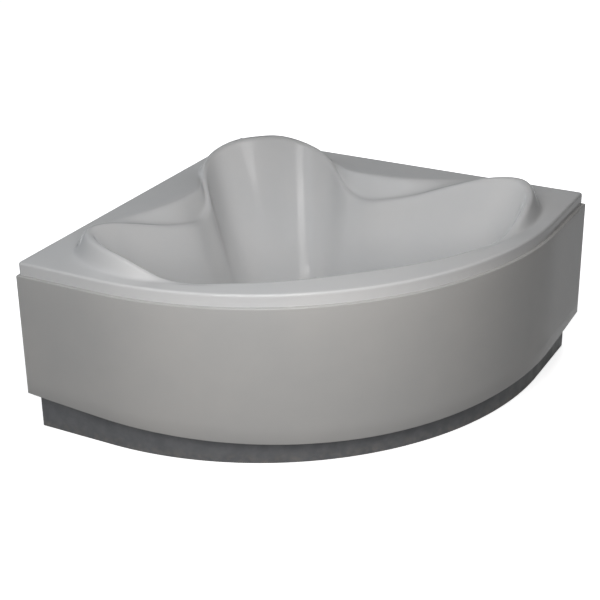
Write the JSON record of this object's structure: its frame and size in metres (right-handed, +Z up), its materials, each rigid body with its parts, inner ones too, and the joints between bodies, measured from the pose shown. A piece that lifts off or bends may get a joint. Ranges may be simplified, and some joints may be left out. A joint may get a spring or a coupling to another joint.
{
  "type": "corner bathtub",
  "caption": "Corner bath: moulded acrylic shell with headrest and side lobes over sloping armrests, bowed front panel, recessed plinth, steel frame on levelling feet, waste and overflow.",
  "frame": {"origin": "on the floor, under the centre of the square footprint", "axes": "+Z up; -X is the left wall face and +Y the rear wall face, which meet behind the headrest; the bowed front faces +X and -Y"},
  "size_m": [1.4, 1.4, 0.684],
  "materials": {
    "acrylic": "glossy cast acrylic",
    "panel_acrylic": "glossy vacuum-formed acrylic",
    "plinth": "satin",
    "board": "raw chipboard",
    "frame_steel": "powder coated",
    "zinc_steel": "zinc plated",
    "black_plastic": "moulded",
    "magnet": "nickel plated",
    "chrome": "polished",
    "seal_rubber": "matt",
    "white_plastic": "moulded polypropylene",
    "hose_plastic": "flexible PVC"
  },
  "bodies": {
    "bath": {"tub_shell": "acrylic", "base_board": "board", "wall_batten_left": "board", "wall_batten_right": "board", "front_batten": "board", "corner_block_back": "board", "corner_block_left": "board", "corner_block_right": "board", "main_rail": "frame_steel", "rear_rail": "frame_steel", "spine_rail": "frame_steel", "long_rail_left": "frame_steel", "long_rail_right": "frame_steel", "front_rail_left": "frame_steel", "front_rail_right": "frame_steel", "post_back": "frame_steel", "post_left": "frame_steel", "post_right": "frame_steel", "post_front_left": "frame_steel", "post_front_right": "frame_steel", "rail_caps": "black_plastic", "foot_nuts": "zinc_steel", "front_panel": "panel_acrylic", "plinth": "plinth", "panel_hangers": "zinc_steel", "panel_catches": "zinc_steel", "panel_magnets": "magnet", "plinth_brackets": "zinc_steel", "wall_clips": "zinc_steel", "hanger_screws": "zinc_steel", "drain_flange": "chrome", "drain_seal": "seal_rubber", "drain_body": "white_plastic", "trap_bowl": "white_plastic", "trap_nut": "white_plastic", "waste_pipe": "white_plastic", "overflow_plate": "chrome", "overflow_seal": "seal_rubber", "overflow_body": "white_plastic", "overflow_hose": "hose_plastic", "hose_nuts": "white_plastic", "plug_cable": "black_plastic"},
    "knob": {"overflow_knob": "chrome"},
    "plug": {"drain_plug": "chrome"},
    "back_foot": {"foot_rod_back": "zinc_steel", "foot_pad_back": "black_plastic"},
    "left_foot": {"foot_rod_left": "zinc_steel", "foot_pad_left": "black_plastic"},
    "right_foot": {"foot_rod_right": "zinc_steel", "foot_pad_right": "black_plastic"},
    "front_left_foot": {"foot_rod_front_left": "zinc_steel", "foot_pad_front_left": "black_plastic"},
    "front_right_foot": {"foot_rod_front_right": "zinc_steel", "foot_pad_front_right": "black_plastic"}
  },
  "joints": [
    {"name": "knob_turn", "type": "hinge", "parent": "bath", "child": "knob", "pos_m": [0.26598, -0.26598, 0.505], "axis": [-0.7026, 0.7026, 0.1124], "range_deg": [0, 120]},
    {"name": "plug_lift", "type": "slide", "parent": "bath", "child": "plug", "axis": [0, 0, 1], "range_m": [0, 0.012]},
    {"name": "back_foot_screw", "type": "slide", "parent": "bath", "child": "back_foot", "axis": [0, 0, -1], "range_m": [-0.01, 0.015]},
    {"name": "left_foot_screw", "type": "slide", "parent": "bath", "child": "left_foot", "axis": [0, 0, -1], "range_m": [-0.01, 0.015]},
    {"name": "right_foot_screw", "type": "slide", "parent": "bath", "child": "right_foot", "axis": [0, 0, -1], "range_m": [-0.01, 0.015]},
    {"name": "front_left_foot_screw", "type": "slide", "parent": "bath", "child": "front_left_foot", "axis": [0, 0, -1], "range_m": [-0.01, 0.015]},
    {"name": "front_right_foot_screw", "type": "slide", "parent": "bath", "child": "front_right_foot", "axis": [0, 0, -1], "range_m": [-0.01, 0.015]}
  ],
  "couplings": [
    {"joint": "plug_lift", "follows": "knob_turn", "m_per_rad": 0.0057}
  ]
}
